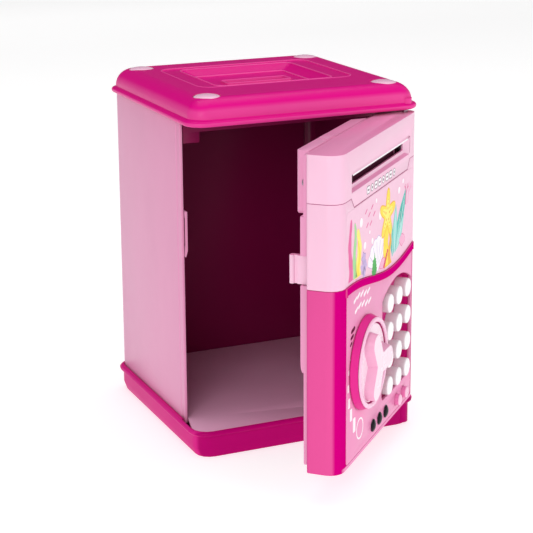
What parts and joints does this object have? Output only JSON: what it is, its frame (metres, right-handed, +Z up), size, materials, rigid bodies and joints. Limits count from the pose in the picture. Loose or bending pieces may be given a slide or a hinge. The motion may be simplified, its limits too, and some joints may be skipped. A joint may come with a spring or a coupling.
{
  "type": "toy safe coin bank",
  "caption": "Toy safe money box with a hinged keypad door, turning dial, banknote slot and a coin slot in the lid.",
  "frame": {"origin": "centre of the base's flat underside", "axes": "+Z up, the door is on the -Y side and its hinge is on the +X side"},
  "size_m": [0.132, 0.21, 0.1907],
  "materials": {
    "magenta_shell": "gloss",
    "deep_magenta_shell": "gloss",
    "light_pink_shell": "gloss",
    "panel_pink": "gloss",
    "pale_pink_trim": "gloss",
    "printed_label": "gloss print",
    "white_keys": "gloss",
    "black_lens": "gloss",
    "steel": "satin",
    "green_board": "satin",
    "grey_rubber": "matte"
  },
  "bodies": {
    "cabinet": {"base_tray": "magenta_shell", "floor_panel": "light_pink_shell", "left_side_panel": "light_pink_shell", "right_side_panel": "light_pink_shell", "back_panel": "deep_magenta_shell", "top_frame": "deep_magenta_shell", "lid": "magenta_shell", "stud_cap_1": "pale_pink_trim", "stud_cap_2": "pale_pink_trim", "stud_cap_3": "pale_pink_trim", "stud_cap_4": "pale_pink_trim", "base_screw_1": "steel", "base_screw_2": "steel", "base_screw_3": "steel", "base_screw_4": "steel", "strike_keeper": "light_pink_shell"},
    "door": {"door_top_fascia": "light_pink_shell", "door_middle_fascia": "light_pink_shell", "door_lower_shell": "magenta_shell", "control_panel": "panel_pink", "picture_label": "printed_label", "keypad_tray": "magenta_shell", "key_mat": "grey_rubber", "circuit_board": "green_board", "dial_bezel": "magenta_shell", "dial_ring": "pale_pink_trim", "indicator_lens_1": "black_lens", "indicator_lens_2": "black_lens", "indicator_lens_3": "black_lens", "rear_cover": "light_pink_shell", "battery_cover": "light_pink_shell", "cover_screw_1": "steel", "cover_screw_2": "steel", "cover_screw_3": "steel", "cover_screw_4": "steel", "speaker": "black_lens", "feed_motor": "steel", "feed_bracket": "white_keys", "hinge_pin_top": "steel", "hinge_pin_bottom": "steel"},
    "dial": {"dial_knob": "pale_pink_trim", "latch_cam": "white_keys"},
    "latch": {"latch": "light_pink_shell"},
    "motor_gear": {"motor_gear": "white_keys"},
    "pinch_roller": {"pinch_roller": "grey_rubber"},
    "feed_roller": {"feed_roller": "grey_rubber"},
    "function_button_1": {"function_button_1": "panel_pink"},
    "function_button_2": {"function_button_2": "panel_pink"},
    "key_1_1": {"key_1_1": "white_keys"},
    "key_1_2": {"key_1_2": "white_keys"},
    "key_1_3": {"key_1_3": "white_keys"},
    "key_2_1": {"key_2_1": "white_keys"},
    "key_2_2": {"key_2_2": "white_keys"},
    "key_2_3": {"key_2_3": "white_keys"},
    "key_3_1": {"key_3_1": "white_keys"},
    "key_3_2": {"key_3_2": "white_keys"},
    "key_3_3": {"key_3_3": "white_keys"},
    "key_4_1": {"key_4_1": "white_keys"},
    "key_4_2": {"key_4_2": "white_keys"},
    "key_4_3": {"key_4_3": "white_keys"}
  },
  "joints": [
    {"name": "door_hinge", "type": "hinge", "parent": "cabinet", "child": "door", "pos_m": [0.0578, -0.06, 0.095], "axis": [0, 0, 1], "range_deg": [-44.8, 65.2]},
    {"name": "dial_turn", "type": "hinge", "parent": "door", "child": "dial", "pos_m": [0.00278, -0.12168, 0.063], "axis": [-0.7046, 0.7096, 0], "range_deg": [0, 90]},
    {"name": "latch_slide", "type": "slide", "parent": "door", "child": "latch", "axis": [-0.7096, -0.7046, 0], "range_m": [0, 0.0022]},
    {"name": "motor_spin", "type": "hinge", "parent": "door", "child": "motor_gear", "pos_m": [0.01291, -0.09682, 0.1435], "axis": [0.7096, 0.7046, 0], "continuous": true},
    {"name": "pinch_spin", "type": "hinge", "parent": "door", "child": "pinch_roller", "pos_m": [0.01291, -0.09682, 0.1546], "axis": [0.7096, 0.7046, 0], "continuous": true},
    {"name": "feed_spin", "type": "hinge", "parent": "door", "child": "feed_roller", "pos_m": [0.01291, -0.09682, 0.1639], "axis": [0.7096, 0.7046, 0], "continuous": true},
    {"name": "button_1_press", "type": "slide", "parent": "door", "child": "function_button_1", "axis": [-0.7046, 0.7096, 0], "range_m": [0, 0.0015], "stiffness_N_per_m": 150},
    {"name": "button_2_press", "type": "slide", "parent": "door", "child": "function_button_2", "axis": [-0.7046, 0.7096, 0], "range_m": [0, 0.0015], "stiffness_N_per_m": 150},
    {"name": "key_1_1_press", "type": "slide", "parent": "door", "child": "key_1_1", "axis": [-0.7046, 0.7096, 0], "range_m": [0, 0.0015], "stiffness_N_per_m": 150},
    {"name": "key_1_2_press", "type": "slide", "parent": "door", "child": "key_1_2", "axis": [-0.7046, 0.7096, 0], "range_m": [0, 0.0015], "stiffness_N_per_m": 150},
    {"name": "key_1_3_press", "type": "slide", "parent": "door", "child": "key_1_3", "axis": [-0.7046, 0.7096, 0], "range_m": [0, 0.0015], "stiffness_N_per_m": 150},
    {"name": "key_2_1_press", "type": "slide", "parent": "door", "child": "key_2_1", "axis": [-0.7046, 0.7096, 0], "range_m": [0, 0.0015], "stiffness_N_per_m": 150},
    {"name": "key_2_2_press", "type": "slide", "parent": "door", "child": "key_2_2", "axis": [-0.7046, 0.7096, 0], "range_m": [0, 0.0015], "stiffness_N_per_m": 150},
    {"name": "key_2_3_press", "type": "slide", "parent": "door", "child": "key_2_3", "axis": [-0.7046, 0.7096, 0], "range_m": [0, 0.0015], "stiffness_N_per_m": 150},
    {"name": "key_3_1_press", "type": "slide", "parent": "door", "child": "key_3_1", "axis": [-0.7046, 0.7096, 0], "range_m": [0, 0.0015], "stiffness_N_per_m": 150},
    {"name": "key_3_2_press", "type": "slide", "parent": "door", "child": "key_3_2", "axis": [-0.7046, 0.7096, 0], "range_m": [0, 0.0015], "stiffness_N_per_m": 150},
    {"name": "key_3_3_press", "type": "slide", "parent": "door", "child": "key_3_3", "axis": [-0.7046, 0.7096, 0], "range_m": [0, 0.0015], "stiffness_N_per_m": 150},
    {"name": "key_4_1_press", "type": "slide", "parent": "door", "child": "key_4_1", "axis": [-0.7046, 0.7096, 0], "range_m": [0, 0.0015], "stiffness_N_per_m": 150},
    {"name": "key_4_2_press", "type": "slide", "parent": "door", "child": "key_4_2", "axis": [-0.7046, 0.7096, 0], "range_m": [0, 0.0015], "stiffness_N_per_m": 150},
    {"name": "key_4_3_press", "type": "slide", "parent": "door", "child": "key_4_3", "axis": [-0.7046, 0.7096, 0], "range_m": [0, 0.0015], "stiffness_N_per_m": 150}
  ],
  "couplings": [
    {"joint": "dial_turn", "follows": "latch_slide", "rad_per_m": 714},
    {"joint": "pinch_spin", "follows": "motor_spin", "ratio": -1.4},
    {"joint": "feed_spin", "follows": "motor_spin", "ratio": 1.4}
  ]
}
